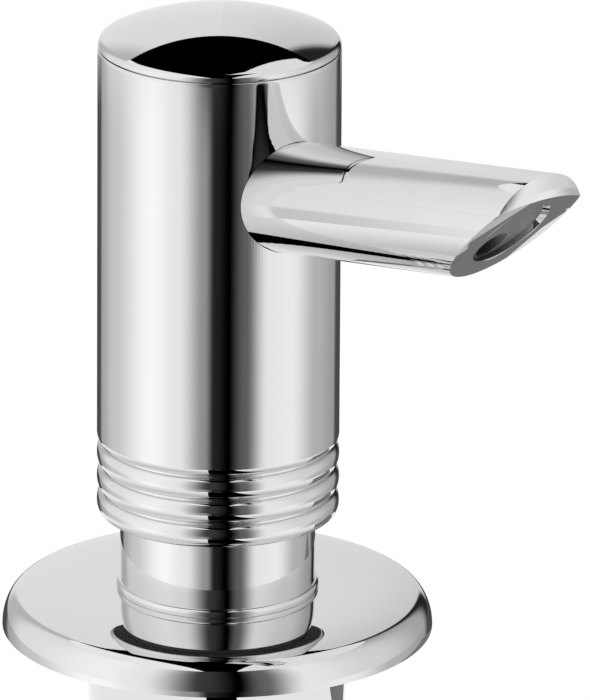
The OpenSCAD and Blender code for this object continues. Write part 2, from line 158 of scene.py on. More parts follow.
# %% Moulded grain
grain, given, handed = new_group(
    "moulded_grain",
    {"Place": "Vector", "Tint": "Color", "Shade": "Color", "Grain": "Float", "Shine": "Float"},
    {"Colour": "Color", "Roughness": "Float", "Height": "Float"})
mottle = add_node(grain, "ShaderNodeTexNoise", Scale=160.0, Detail=4.0)
pits = add_node(grain, "ShaderNodeTexNoise", Detail=2.0)
blend = add_node(grain, "ShaderNodeMix", data_type="RGBA")
spread = add_node(grain, "ShaderNodeMath", operation="MULTIPLY_ADD")
spread.inputs[1].default_value = 0.12
for source, target in (
        (given.outputs["Place"], mottle.inputs["Vector"]),
        (given.outputs["Place"], pits.inputs["Vector"]),
        (given.outputs["Grain"], pits.inputs["Scale"]),
        (mottle.outputs["Fac"], blend.inputs["Factor"]),
        (given.outputs["Tint"], blend.inputs["A"]),
        (given.outputs["Shade"], blend.inputs["B"]),
        (mottle.outputs["Fac"], spread.inputs[0]),
        (given.outputs["Shine"], spread.inputs[2]),
        (blend.outputs["Result"], handed.inputs["Colour"]),
        (spread.outputs["Value"], handed.inputs["Roughness"]),
        (pits.outputs["Fac"], handed.inputs["Height"])):
    grain.links.new(source, target)
print("moulded_grain:", len(grain.nodes), "nodes")

# %% Lathe lines
lines, given, handed = new_group(
    "lathe_lines",
    {"Place": "Vector", "Tint": "Color", "Shade": "Color", "Pitch": "Float", "Shine": "Float"},
    {"Colour": "Color", "Roughness": "Float", "Height": "Float"})
split = add_node(lines, "ShaderNodeSeparateXYZ")
flat = add_node(lines, "ShaderNodeCombineXYZ")
radius = add_node(lines, "ShaderNodeVectorMath", operation="LENGTH")
depth = add_node(lines, "ShaderNodeMath", operation="ADD")
line = add_node(lines, "ShaderNodeCombineXYZ")
cuts = add_node(lines, "ShaderNodeTexNoise", noise_dimensions="3D", Detail=3.0)
stain = add_node(lines, "ShaderNodeTexNoise", Scale=90.0, Detail=4.0)
blend = add_node(lines, "ShaderNodeMix", data_type="RGBA")
spread = add_node(lines, "ShaderNodeMath", operation="MULTIPLY_ADD")
spread.inputs[1].default_value = 0.18
for source, target in (
        (given.outputs["Place"], split.inputs["Vector"]),
        (split.outputs["X"], flat.inputs["X"]),
        (split.outputs["Y"], flat.inputs["Y"]),
        (flat.outputs["Vector"], radius.inputs[0]),
        (radius.outputs["Value"], depth.inputs[0]),
        (split.outputs["Z"], depth.inputs[1]),
        (depth.outputs["Value"], line.inputs["Z"]),
        (line.outputs["Vector"], cuts.inputs["Vector"]),
        (given.outputs["Pitch"], cuts.inputs["Scale"]),
        (given.outputs["Place"], stain.inputs["Vector"]),
        (stain.outputs["Fac"], blend.inputs["Factor"]),
        (given.outputs["Tint"], blend.inputs["A"]),
        (given.outputs["Shade"], blend.inputs["B"]),
        (cuts.outputs["Fac"], spread.inputs[0]),
        (given.outputs["Shine"], spread.inputs[2]),
        (blend.outputs["Result"], handed.inputs["Colour"]),
        (spread.outputs["Value"], handed.inputs["Roughness"]),
        (cuts.outputs["Fac"], handed.inputs["Height"])):
    lines.links.new(source, target)
print("lathe_lines:", len(lines.nodes), "nodes")

# %% [markdown]
# ## The finishes
# The part you see is bright chrome plating, with a grey moulded plug in the spout's mouth. Below the deck there are
# brass, steel, rubber and pale plastics. One helper makes them all: it places a group in a new material, sets the
# group's values, and wires what it hands out to the Principled shader. What is the same all over is set on the
# shader.

# %% Finishes
def make_finish(name, group, settings, bump=0.0, **shader_values):
    """A material whose colour, roughness and height come from one of the node groups."""
    finish = bpy.data.materials.new(name)
    finish.use_nodes = True
    tree = finish.node_tree
    shader = tree.nodes["Principled BSDF"]
    for socket, value in shader_values.items():
        shader.inputs[socket.replace("_", " ")].default_value = value
    place = add_node(tree, "ShaderNodeTexCoord")
    effect = add_node(tree, "ShaderNodeGroup", node_tree=group)
    for socket, value in settings.items():
        effect.inputs[socket].default_value = value
    tree.links.new(place.outputs["Object"], effect.inputs["Place"])
    tree.links.new(effect.outputs["Colour"], shader.inputs["Base Color"])
    tree.links.new(effect.outputs["Roughness"], shader.inputs["Roughness"])
    if bump:
        relief = add_node(tree, "ShaderNodeBump", Strength=bump, Distance=0.0001)
        tree.links.new(effect.outputs["Height"], relief.inputs["Height"])
        tree.links.new(relief.outputs["Normal"], shader.inputs["Normal"])
    return finish


chrome = make_finish("chrome_plating", haze, {"Tint": (0.80, 0.79, 0.785, 1), "Shine": 0.012}, Metallic=1.0)
grey_plastic = make_finish(
    "grey_moulding", grain,
    {"Tint": (0.30, 0.295, 0.29, 1), "Shade": (0.25, 0.245, 0.24, 1), "Grain": 2600.0, "Shine": 0.38}, bump=0.25)
white_plastic = make_finish(
    "white_moulding", grain,
    {"Tint": (0.84, 0.83, 0.80, 1), "Shade": (0.78, 0.77, 0.74, 1), "Grain": 2200.0, "Shine": 0.30}, bump=0.15)
bottle_plastic = make_finish(
    "milky_bottle", grain,
    {"Tint": (0.83, 0.83, 0.81, 1), "Shade": (0.76, 0.76, 0.73, 1), "Grain": 900.0, "Shine": 0.32}, bump=0.2)
# Near-black, dull finish for the flat ring under the sleeve's foot: painted shade under the head.
foot_painted_shade = make_finish(
    "foot_painted_shade", grain,
    {"Tint": (0.035, 0.034, 0.033, 1), "Shade": (0.022, 0.021, 0.02, 1), "Grain": 1500.0, "Shine": 0.5}, bump=0.3)
rubber = make_finish(
    "black_rubber", grain,
    {"Tint": (0.028, 0.027, 0.026, 1), "Shade": (0.05, 0.048, 0.046, 1), "Grain": 1800.0, "Shine": 0.58}, bump=0.4)
brass = make_finish(
    "machined_brass", lines,
    {"Tint": (0.72, 0.55, 0.27, 1), "Shade": (0.60, 0.44, 0.20, 1), "Pitch": 5200.0, "Shine": 0.16},
    bump=0.3, Metallic=1.0)
steel = make_finish(
    "bright_steel", lines,
    {"Tint": (0.63, 0.64, 0.65, 1), "Shade": (0.53, 0.54, 0.56, 1), "Pitch": 6800.0, "Shine": 0.14},
    bump=0.25, Metallic=1.0)
print("finishes:", [m.name for m in bpy.data.materials if m.use_nodes and m.node_tree.nodes.get("Group")])

# %% [markdown]
# ## Tools of the lathe
# Most pieces are round, as turned or moulded ones are. By hand you would draw half of the cross-section as a line of
# points, round its corners, and spin it. The line starts as a plane that is merged into one point, and each extrude
# draws the line on. Corners are rounded before the spin, because a line has far fewer points than a finished solid.

# %% Drawing, rounding and turning
SMOOTH_ANGLE = math.radians(32)


def leave_edit():
    """Ends edit mode and drops the selection, so that an operator can't reach another piece."""
    if bpy.context.object and bpy.context.object.mode == "EDIT":
        bpy.ops.object.mode_set(mode="OBJECT")
    bpy.ops.object.select_all(action="DESELECT")


def pick(test, kind="VERT"):
    """Selects the vertices, edges or faces of the piece in edit mode whose middle passes the test."""
    bpy.ops.mesh.select_mode(type=kind)
    bpy.ops.mesh.select_all(action="DESELECT")
    mesh = bmesh.from_edit_mesh(bpy.context.object.data)
    for part in {"VERT": mesh.verts, "EDGE": mesh.edges, "FACE": mesh.faces}[kind]:
        corners = [part] if kind == "VERT" else part.verts
        middle = sum((corner.co for corner in corners), Vector()) / len(corners)
        part.select_set(bool(test(middle / MM)))
    mesh.select_flush_mode()
    bmesh.update_edit_mesh(bpy.context.object.data)


def draw_outline(name, corners):
    """Draws a closed half section from corners of radius, height and, where one is given, a rounding."""
    leave_edit()
    bpy.ops.mesh.primitive_plane_add(size=MM)
    piece = bpy.context.object
    piece.name = piece.data.name = name
    bpy.ops.object.mode_set(mode="EDIT")
    bpy.ops.mesh.select_mode(type="VERT")
    bpy.ops.mesh.select_all(action="SELECT")
    bpy.ops.mesh.merge(type="CENTER")
    here = Vector((corners[0][0], 0, corners[0][1])) * MM
    bpy.ops.transform.translate(value=here)
    for corner in corners[1:] + corners[:1]:
        there = Vector((corner[0], 0, corner[1])) * MM
        bpy.ops.mesh.extrude_region_move(TRANSFORM_OT_translate={"value": there - here})
        here = there
    bpy.ops.mesh.select_all(action="SELECT")
    bpy.ops.mesh.remove_doubles(threshold=0.002 * MM)
    for rounding in sorted({corner[2] for corner in corners if len(corner) > 2}):
        spots = [Vector((c[0], 0, c[1])) for c in corners if len(c) > 2 and c[2] == rounding]
        pick(lambda at: any((at - spot).length < 0.004 for spot in spots))
        bpy.ops.mesh.bevel(offset=rounding * MM, segments=4, affect="VERTICES", clamp_overlap=False)
    return piece


def turn(piece, steps=256):
    """Spins the drawn section round the head's axis into a closed solid."""
    bpy.ops.mesh.select_all(action="SELECT")
    bpy.ops.mesh.spin(steps=steps, angle=math.tau, center=(0, 0, 0), axis=(0, 0, 1))
    bpy.ops.mesh.select_all(action="SELECT")
    bpy.ops.mesh.remove_doubles(threshold=0.001 * MM)
    bpy.ops.mesh.normals_make_consistent(inside=False)
    bpy.ops.object.mode_set(mode="OBJECT")
    return piece


def hand_over(piece, finish, body, slot, *nodes):
    """Smooths the piece, gives it its finish, rides it on its body and lets it stand for its CAD nodes."""
    leave_edit()
    piece.select_set(True)
    bpy.context.view_layer.objects.active = piece
    bpy.ops.object.transform_apply(location=True, rotation=True, scale=True)
    bpy.ops.object.shade_smooth_by_angle(angle=SMOOTH_ANGLE)
    piece.data.materials.clear()
    piece.data.materials.append(finish)
    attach(piece, body)
    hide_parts(*nodes)
    low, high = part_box(nodes[0])
    most = max(abs((high - low)[i] - piece.dimensions[i]) for i in range(3)) / MM
    print(f"{piece.name}: {len(piece.data.polygons)} faces on {body}, within {most:.2f} mm of {nodes[0]}")


print("lathe ready")

# %% [markdown]
# ## The flange
# The flange is a casting, turned, polished and plated. Its rim stands up from the deck as a quarter of an ellipse and
# bends over into a top that is almost flat, so it mirrors the neck and the head's foot. A spin is the natural way,
# since one section holds the whole shape. Its points lie close together at the rim, so that no edge breaks the
# plating.

# %% Flange
RIM_R, RIM_LOW, RIM_W, RIM_H = 28.5, 1.6, 2.7, 4.4
RIM_SLOPE, CROWN_POWER, HOLE_R = math.radians(16), 3.5, 13.1
HUB_R, HUB_LOW, SEAT_Z, LAND_Z, GASKET_IN = 17.1, -9.0, -1.9, 0.15, 19.2
SPIGOT_R, FIT = 15.9, 0.02
DRIP_R, DRIP = 27.0, 0.4
rim_turn = math.atan(RIM_W / RIM_H * math.tan(RIM_SLOPE))
rim = [(RIM_R - RIM_W * (1 - math.sin(a)), RIM_LOW + RIM_H * math.cos(a))
       for a in (math.pi / 2 + (rim_turn - math.pi / 2) * i / 48 for i in range(49))]
crown_r, crown_low = rim[-1]
crown_rise = math.tan(RIM_SLOPE) * (crown_r - HOLE_R) / CROWN_POWER
CROWN_Z = crown_low + crown_rise
crown = [(HOLE_R + (crown_r - HOLE_R) * t, CROWN_Z - crown_rise * t ** CROWN_POWER)
         for t in (1 - i / 40 for i in range(1, 41))]
flange = draw_outline("flange", rim + crown + [
    (HOLE_R, SEAT_Z), (SPIGOT_R + FIT, SEAT_Z), (SPIGOT_R + FIT, HUB_LOW), (HUB_R, HUB_LOW, 0.3), (HUB_R, LAND_Z),
    (GASKET_IN, LAND_Z), (GASKET_IN, RIM_LOW), (DRIP_R - DRIP, RIM_LOW), (DRIP_R, RIM_LOW + DRIP),
    (DRIP_R + DRIP, RIM_LOW)])
turn(flange, 320)
hand_over(flange, chrome, "base", "chrome", "escutcheon")

# %% [markdown]
# ## The neck
# The neck stands in the pump's collar, and its thin bead rests on the flange's crown. The head slides down over it.
# The bead is a row of points on a rounded curve, close enough that the plating shows no facets.

# %% Neck
def bead(radius, low, height, bulge, steps=20):
    """Points on the outside of a rounded bead, upwards."""
    angles = [math.pi * (i / steps - 0.5) for i in range(steps + 1)]
    return [(radius + bulge * math.cos(a), low + height / 2 * (1 + math.sin(a))) for a in angles]


NECK_R, BEAD_OUT, BEAD_H = 12.9, 0.5, 1.1
NECK_BORE, GUIDE_R, NECK_LOW, NECK_TOP = 11.0, 12.1, -12.0, 22.5
shoulder = [(NECK_R + BEAD_OUT * math.cos(a), CROWN_Z + BEAD_H * (0.4 + 0.6 * math.sin(a)))
            for a in (math.pi / 32 * i for i in range(17))]
neck = draw_outline("neck", [
    (NECK_BORE, NECK_TOP), (NECK_BORE, NECK_LOW, 0.3), (GUIDE_R, NECK_LOW, 0.3), (GUIDE_R, CROWN_Z),
    (NECK_R + BEAD_OUT, CROWN_Z, 0.1)]
    + shoulder + [(NECK_R, 8.4), (NECK_R, NECK_TOP - 1), (NECK_R, NECK_TOP, 0.2)])
turn(neck)
hand_over(neck, chrome, "pump_unit", "chrome", "neck_skirt")

# %% [markdown]
# ## The head's sleeve
# The sleeve is the tall plated tube that the hand rests on. Three beaded rings run round its foot, and at its top a
# fine slit parts it from the cap. The beads belong to the same section as the tube, so one spin makes them all. The
# hole for the spout is cut afterwards with a Boolean modifier, because a spin can only make what is the same all
# round.

# %% Sleeve
HEAD_R, SEAM_Z, SLIT, SLIT_R = 16.0, 82.0, 0.11, 15.2
GROOVE_R, GROOVE_FLAT, RING_PITCH, RING_OUT, FOOT_Z = 15.2, 0.15, 3.3, 0.8, 17.5
FOOT_BORE, SLEEVE_BORE, LEDGE_Z, LIP_RISE = 12.95, 14.4, 30.0, 1.2
rings = []
for ring in range(3):
    rings += bead(GROOVE_R, FOOT_Z + ring * RING_PITCH + GROOVE_FLAT, RING_PITCH - 2 * GROOVE_FLAT, RING_OUT, 24)
lip_low = FOOT_Z + 3 * RING_PITCH + GROOVE_FLAT
lip = [(GROOVE_R + RING_OUT * math.cos(a), lip_low + LIP_RISE * (1 + math.sin(a)))
       for a in (math.radians(-90 + 7.5 * i) for i in range(13))]
sleeve = draw_outline("sleeve", [(FOOT_BORE, LEDGE_Z), (FOOT_BORE, FOOT_Z + GROOVE_FLAT)] + rings + lip + [
    (HEAD_R, LEDGE_Z - 0.6), (HEAD_R, SEAM_Z - 0.6), (HEAD_R, SEAM_Z - SLIT, 0.14), (SLIT_R, SEAM_Z - SLIT),
    (SLIT_R, SEAM_Z), (SLEEVE_BORE, SEAM_Z), (SLEEVE_BORE, LEDGE_Z)])
turn(sleeve)
print("sleeve:", len(sleeve.data.polygons), "faces before its hole is cut")

# %% [markdown]
# ## The spout
# The spout is the hardest piece: a round bar that rises by about ten degrees, rounded at its nose as seen from above,
# and cut off obliquely below, where its mouth opens. It could be drawn as a surface by hand, but the shop's own way
# is simpler: take a bar, trim it with a rounded form, slice the mouth with a plane, then drill it.

# %% A bar along the spout
SPOUT_RISE = math.radians(10.4)
SPOUT_Z, SPOUT_R, SPOUT_FROM, BAR_END = 62.4, 7.4, 12.64, 85.0
along = Vector((math.cos(SPOUT_RISE), 0, math.sin(SPOUT_RISE)))
down = Vector((math.sin(SPOUT_RISE), 0, -math.cos(SPOUT_RISE)))


def bar(name, radius, start, end, drop=0.0, sides=256):
    """A round bar along the spout's axis, from one distance from the head's axis to another."""
    leave_edit()
    middle = Vector((0, 0, SPOUT_Z)) + along * (start + end) / 2 + down * drop
    bpy.ops.mesh.primitive_cylinder_add(
        vertices=sides, radius=radius * MM, depth=(end - start) * MM, location=middle * MM,
        rotation=(0, math.pi / 2 - SPOUT_RISE, 0))
    piece = bpy.context.object
    piece.name = piece.data.name = name
    bpy.ops.object.transform_apply(location=True, rotation=True, scale=True)
    return piece


def cut(piece, tool, operation="DIFFERENCE"):
    """Cuts one piece with another by a Boolean modifier, and throws the tool away."""
    leave_edit()
    piece.select_set(True)
    bpy.context.view_layer.objects.active = piece
    shape = piece.modifiers.new("cut", "BOOLEAN")
    shape.operation = operation
    shape.solver = "EXACT"
    shape.object = tool
    bpy.ops.object.modifier_apply(modifier=shape.name)
    bpy.data.objects.remove(tool)


spout = bar("spout", SPOUT_R, SPOUT_FROM, BAR_END)
print("bar:", [round(x / MM, 1) for x in spout.dimensions], "mm")

# %% Rounded nose, oblique mouth and passage
NOSE_X, NOSE_R, MOUTH_X = 51.6, 16.6, 62.4
MOUTH = Vector((MOUTH_X, 0, SPOUT_Z + MOUTH_X * math.tan(SPOUT_RISE)))
MOUTH_SLOPE = math.radians(42.6)
PASSAGE_R, PASSAGE_DROP, PASSAGE_FROM, THROUGH = 4.2, 0.9, 15.6, 90.0
EDGE_BEVEL = 0.12
mouth_normal = Vector((-math.sin(MOUTH_SLOPE), 0, math.cos(MOUTH_SLOPE)))


def slice_mouth(piece, inset):
    """Cuts off all that lies below a plane parallel to the mouth, and closes the cut."""
    leave_edit()
    piece.select_set(True)
    bpy.context.view_layer.objects.active = piece
    bpy.ops.object.mode_set(mode="EDIT")
    bpy.ops.mesh.select_all(action="SELECT")
    bpy.ops.mesh.bisect(plane_co=(MOUTH + mouth_normal * inset) * MM, plane_no=mouth_normal,
                        use_fill=True, clear_inner=True)
    bpy.ops.object.mode_set(mode="OBJECT")


leave_edit()
bpy.ops.mesh.primitive_cylinder_add(vertices=512, radius=NOSE_R * MM, depth=0.08, location=(NOSE_X * MM, 0, 0.07))
nose_form = bpy.context.object
bpy.ops.object.transform_apply(location=True, rotation=True, scale=True)
bpy.ops.object.mode_set(mode="EDIT")
pick(lambda at: at.x < NOSE_X - 1)
bpy.ops.transform.translate(value=(-0.06, 0, 0))
leave_edit()
cut(spout, nose_form, "INTERSECT")
slice_mouth(spout, 0)
cut(spout, bar("passage", PASSAGE_R, PASSAGE_FROM, THROUGH, drop=PASSAGE_DROP, sides=160))
print("spout:", len(spout.data.polygons), "faces, reach", round(max(v.co.x for v in spout.data.vertices) / MM, 2), "mm")

# %% Fine edges round the mouth and nose
leave_edit()
spout.select_set(True)
bpy.context.view_layer.objects.active = spout
soft_edge = spout.modifiers.new("soft_edge", "BEVEL")
soft_edge.width = EDGE_BEVEL * MM
soft_edge.segments = 3
soft_edge.limit_method = "ANGLE"
soft_edge.angle_limit = SMOOTH_ANGLE
bpy.ops.object.modifier_apply(modifier=soft_edge.name)
hand_over(spout, chrome, "head", "chrome", "spout")

# %% [markdown]
# ## The spout's hole in the sleeve
# The bar passes through the sleeve with hardly any gap. A slightly thicker bar cuts the hole, so the joint shows as
# one fine line where the two platings meet.

# %% Hole in the sleeve
cut(sleeve, bar("hole", SPOUT_R + FIT, 4.0, 30.0))
hand_over(sleeve, chrome, "head", "chrome", "head_sleeve")

# %% [markdown]
# ## Painted shade under the foot
# The flange mirrors what is under the head. The flat ring under the sleeve's foot gets a near-black, dull material
# in a second material slot, as painted shade, so that the mirrored foot ends in a dark line.

# %% Painted shade under the foot
# The second slot holds the near-black painted shade for the ring under the foot.
sleeve.data.materials.append(foot_painted_shade)
bpy.ops.object.mode_set(mode="EDIT")
pick(lambda at: abs(at.z - FOOT_Z - GROOVE_FLAT) < 0.02 and at.xy.length < GROOVE_R - 0.2, "FACE")
sleeve.active_material_index = 1
bpy.ops.object.material_slot_assign()
leave_edit()
print("painted shade foot:", sum(face.material_index == 1 for face in sleeve.data.polygons), "faces")

# %% [markdown]
# ## The outlet liner
# A grey plastic plug closes the passage a little inside the mouth, cut to the same slope, and the soap leaves by a
# bore along its lower side. It is made as the spout was: a bar, drilled, then sliced by a plane deeper than the
# mouth's face.

# %% Outlet liner
LINER_FROM, LINER_RECESS = 43.44, 0.8
LINER_BORE_R, LINER_BORE_FROM, LINER_BORE_DROP = 1.7, 40.0, 2.8
liner = bar("outlet_liner_plug", PASSAGE_R - FIT, LINER_FROM, BAR_END, drop=PASSAGE_DROP, sides=160)
cut(liner, bar("liner_bore", LINER_BORE_R, LINER_BORE_FROM, THROUGH, drop=LINER_BORE_DROP, sides=96))
slice_mouth(liner, LINER_RECESS)
hand_over(liner, grey_plastic, "head", "grey_plastic", "outlet_liner")

# %% [markdown]
# ## The domed cap
# The cap is a shallow piece of a sphere with a rolled edge, and a spigot that plugs the sleeve. The edge is an arc
# that leaves the sphere along its own slope and ends upright, so light runs over it as one thin bright line.

# %% Cap
CAP_TOP, CAP_R, EDGE_ROUND, EDGE_TURN = 86.4, 15.98, 1.0, math.radians(65.15)
PLUG_R, PLUG_BORE, PLUG_LOW = SLEEVE_BORE - FIT, 12.78, 78.0
edge = [(CAP_R - EDGE_ROUND * (1 - math.cos(a)), SEAM_Z + SLIT + EDGE_ROUND * math.sin(a))
        for a in (EDGE_TURN * i / 10 for i in range(10, -1, -1))]
rise = CAP_TOP - edge[0][1]
ball_r = (edge[0][0] ** 2 + rise ** 2) / (2 * rise)
sweep = math.asin(edge[0][0] / ball_r)
dome = [(ball_r * math.sin(sweep * i / 48), CAP_TOP - ball_r * (1 - math.cos(sweep * i / 48))) for i in range(48)]
cap = draw_outline("cap", dome + edge + [
    (SLIT_R, SEAM_Z + SLIT), (SLIT_R, SEAM_Z), (PLUG_R, SEAM_Z), (PLUG_R, PLUG_LOW, 0.2),
    (PLUG_BORE, PLUG_LOW, 0.2), (PLUG_BORE, SEAM_Z), (0.0, SEAM_Z)])
turn(cap)
hand_over(cap, chrome, "head", "chrome", "dome_cap")

# %% [markdown]
# ## The pump collar
# The collar is a moulded cup inside the shank. It holds the neck's spigot, hangs by it from the flange and carries
# the pump cylinder below. Moulded edges are never quite sharp, so its lower corners get a small rounding.

# %% Collar
COLLAR_R, COLLAR_FLOOR, COLLAR_LOW, CYLINDER_HOLE = 13.05, -23.9, -25.9, 10.62
collar = draw_outline("collar", [
    (GUIDE_R + FIT, CROWN_Z), (GUIDE_R + FIT, COLLAR_FLOOR), (CYLINDER_HOLE, COLLAR_FLOOR),
    (CYLINDER_HOLE, COLLAR_LOW, 0.3), (COLLAR_R, COLLAR_LOW, 0.4), (COLLAR_R, CROWN_Z)])
turn(collar)
hand_over(collar, grey_plastic, "pump_unit", "grey_plastic", "pump_collar")

# %% [markdown]
# ## Gasket and washers
# The gasket seals the flange to the deck, and a rubber and a steel washer spread the nut's pull below it. The rubber
# ones are cut from sheet with soft edges. The steel one is stamped, so one side has a rounder edge than the other.

# %% Gasket and washers
GASKET_R, WASHER_R, CLEAR_R = 23.6, 24.0, 16.75
RUBBER_TOP, STEEL_TOP, NUT_TOP = -20.0, -22.0, -23.5
gasket = draw_outline("gasket", [
    (GASKET_IN + FIT, 0.0, 0.3), (GASKET_R, 0.0, 0.4), (GASKET_R, RIM_LOW, 0.4), (GASKET_IN + FIT, RIM_LOW, 0.3)])
hand_over(turn(gasket), rubber, "base", "rubber", "deck_gasket")
soft_washer = draw_outline("rubber_washer_ring", [
    (CLEAR_R, STEEL_TOP, 0.25), (WASHER_R, STEEL_TOP, 0.35), (WASHER_R, RUBBER_TOP, 0.35), (CLEAR_R, RUBBER_TOP, 0.25)])
hand_over(turn(soft_washer), rubber, "base", "rubber", "rubber_washer")
stamped_washer = draw_outline("steel_washer_ring", [
    (CLEAR_R, NUT_TOP, 0.15), (WASHER_R, NUT_TOP, 0.15), (WASHER_R, STEEL_TOP, 0.4), (CLEAR_R, STEEL_TOP, 0.3)])
hand_over(turn(stamped_washer), steel, "base", "steel", "steel_washer")

# %% [markdown]
# ## The threaded shank
# The brass shank goes down through the deck and carries the nut and the bottle on its thread. A thread is one tooth
# drawn on a line and wound upwards by a Screw modifier. The wound skin is sliced flat at both ends, closed, and then
# joined by a Boolean with the plain top that sits in the flange.

# %% Threaded shank
THREAD_R, THREAD_DEPTH, THREAD_PITCH = 16.5, 0.75, 2.0
SHANK_LOW, SHANK_TOP, SHANK_BORE = -60.0, -2.9, 13.95
leave_edit()
bpy.ops.mesh.primitive_plane_add(size=MM)
shank = bpy.context.object
shank.name = shank.data.name = "shank"
bpy.ops.object.mode_set(mode="EDIT")
bpy.ops.mesh.select_all(action="SELECT")
bpy.ops.mesh.merge(type="CENTER")
bpy.ops.transform.translate(value=((THREAD_R - THREAD_DEPTH) * MM, 0, (SHANK_LOW - 2 * THREAD_PITCH) * MM))
for step_r, step_z in ((0, 0.3), (THREAD_DEPTH, 0.55), (0, 0.6), (-THREAD_DEPTH, 0.55)):
    bpy.ops.mesh.extrude_region_move(TRANSFORM_OT_translate={"value": (step_r * MM, 0, step_z * MM)})
bpy.ops.object.mode_set(mode="OBJECT")
winding = shank.modifiers.new("winding", "SCREW")
winding.axis = "Z"
winding.angle = math.tau
winding.screw_offset = THREAD_PITCH * MM
winding.iterations = 30
winding.steps = winding.render_steps = 96
winding.use_merge_vertices = True
winding.merge_threshold = 0.005 * MM
bpy.ops.object.modifier_apply(modifier=winding.name)
bpy.ops.object.mode_set(mode="EDIT")
for height, keep_above in ((SHANK_LOW, True), (HUB_LOW, False)):
    bpy.ops.mesh.select_all(action="SELECT")
    bpy.ops.mesh.remove_doubles(threshold=0.005 * MM)
    bpy.ops.mesh.bisect(plane_co=(0, 0, height * MM), plane_no=(0, 0, 1), use_fill=True,
                        clear_inner=keep_above, clear_outer=not keep_above)
bpy.ops.mesh.select_all(action="SELECT")
bpy.ops.mesh.normals_make_consistent(inside=False)
leave_edit()
print("thread:", len(shank.data.polygons), "faces")

# %% Bore and plain top of the shank
top = draw_outline("shank_top", [
    (SHANK_BORE, HUB_LOW - 1.5), (15.74, HUB_LOW - 1.5), (SPIGOT_R, HUB_LOW), (SPIGOT_R, SHANK_TOP, 0.25),
    (SHANK_BORE, SHANK_TOP, 0.2)])
turn(top, 192)
leave_edit()
bpy.ops.mesh.primitive_cylinder_add(vertices=192, radius=SHANK_BORE * MM, depth=0.08, location=(0, 0, -0.04))
cut(shank, bpy.context.object)
lead_in = draw_outline("lead_in", [
    (THREAD_R - 0.8, SHANK_LOW - 0.4), (THREAD_R + 0.4, SHANK_LOW - 0.4), (THREAD_R + 0.4, SHANK_LOW + 0.8)])
cut(shank, turn(lead_in, 192))
cut(shank, top, "UNION")
hand_over(shank, brass, "base", "brass", "threaded_shank")

# %% [markdown]
# ## The mounting nut
# A large hexagon nut clamps the deck from below. It starts as a cylinder with six sides. Real nuts are turned at one
# end, which leaves a curved line across each flat, so the hexagon is met with a turned cone by a Boolean, then
# drilled.

# %% Mounting nut
NUT_LOW, NUT_FLATS = -33.5, 44.0
leave_edit()
bpy.ops.mesh.primitive_cylinder_add(
    vertices=6, radius=NUT_FLATS / 2 / math.cos(math.pi / 6) * MM, depth=(NUT_TOP - NUT_LOW) * MM,
    location=(0, 0, (NUT_TOP + NUT_LOW) / 2 * MM), rotation=(0, 0, math.pi / 2))
nut = bpy.context.object
nut.name = nut.data.name = "nut"
bpy.ops.object.transform_apply(location=True, rotation=True, scale=True)
bpy.ops.object.mode_set(mode="EDIT")
pick(lambda at: abs(at.z - (NUT_TOP + NUT_LOW) / 2) < 1 and at.xy.length > 20, "EDGE")
bpy.ops.mesh.bevel(offset=0.5 * MM, segments=3)
cone = draw_outline("nut_cone", [
    (0.0, NUT_LOW), (22.6, NUT_LOW, 0.2), (25.4, NUT_LOW + 1.85), (26.4, NUT_TOP - 0.4), (25.0, NUT_TOP),
    (0.0, NUT_TOP)])
cut(nut, turn(cone, 192), "INTERSECT")
bore = draw_outline("nut_bore", [
    (0.0, NUT_LOW - 1), (18.4, NUT_LOW - 1), (CLEAR_R, NUT_LOW + 0.7), (CLEAR_R, NUT_TOP - 0.5), (17.6, NUT_TOP + 0.4),
    (0.0, NUT_TOP + 0.4)])
cut(nut, turn(bore, 192))
hand_over(nut, brass, "base", "brass", "mounting_nut")

# %% [markdown]
# ## The bottle
# The bottle is blown from milky plastic and screws onto the shank. Its section has an outer and an inner line, so the
# spin gives it a real wall. Every other strip of faces on its neck is then pulled out a little, which makes the grip
# ribs that fingers need below a counter.

# %% Bottle
BOTTLE_NECK_R, SHOULDER_OUT, SHOULDER_TOP, SHOULDER_DROP = 19.75, 13.25, -63.9, 15
HEEL_R, HEEL_ROUND, BOTTLE_LOW, PUNT = 28, 5, -176.0, 2.0
BOTTLE_TOP, BOTTLE_WALL, MOUTH_R, MOUTH_LEDGE, BOTTLE_SIDES = -40.0, 1.6, 14.15, -61.5, 192


def bottle_line(inset):
    """The bottle's side from its neck to the middle of its floor, drawn in by an inset."""
    floor_z = BOTTLE_LOW + inset
    shoulder = [(BOTTLE_NECK_R - inset + SHOULDER_OUT * t * t * (3 - 2 * t), SHOULDER_TOP - inset - SHOULDER_DROP * t)
                for t in (i / 24 for i in range(25))]
    heel = [(HEEL_R - inset + HEEL_ROUND * math.cos(a), floor_z + HEEL_ROUND * (1 - math.sin(a)))
            for a in (math.pi / 24 * i for i in range(13))]
    return shoulder + heel + [(24.0, floor_z), (20.0, floor_z + PUNT), (0.0, floor_z + PUNT)]


GRIP_TOP, GRIP_LOW, RIB_OUT = -42.0, -58.0, 0.6
bottle = draw_outline("bottle_shell", [
    (CLEAR_R, BOTTLE_TOP, 0.3), (BOTTLE_NECK_R, BOTTLE_TOP, 0.5), (BOTTLE_NECK_R, GRIP_TOP), (BOTTLE_NECK_R, GRIP_LOW)]
    + bottle_line(0) + list(reversed(bottle_line(BOTTLE_WALL)))
    + [(MOUTH_R, MOUTH_LEDGE - 4), (MOUTH_R, MOUTH_LEDGE), (CLEAR_R, MOUTH_LEDGE)])
turn(bottle, BOTTLE_SIDES)
bpy.ops.object.mode_set(mode="EDIT")
grip_middle = (GRIP_TOP + GRIP_LOW) / 2
pick(lambda at: abs(at.z - grip_middle) < 1 and at.xy.length > 19
     and round(math.degrees(math.atan2(at.y, at.x)) / (360 / BOTTLE_SIDES) - 0.5) % 4 < 2, "FACE")
bpy.ops.mesh.extrude_region_shrink_fatten(TRANSFORM_OT_shrink_fatten={"value": RIB_OUT * MM})
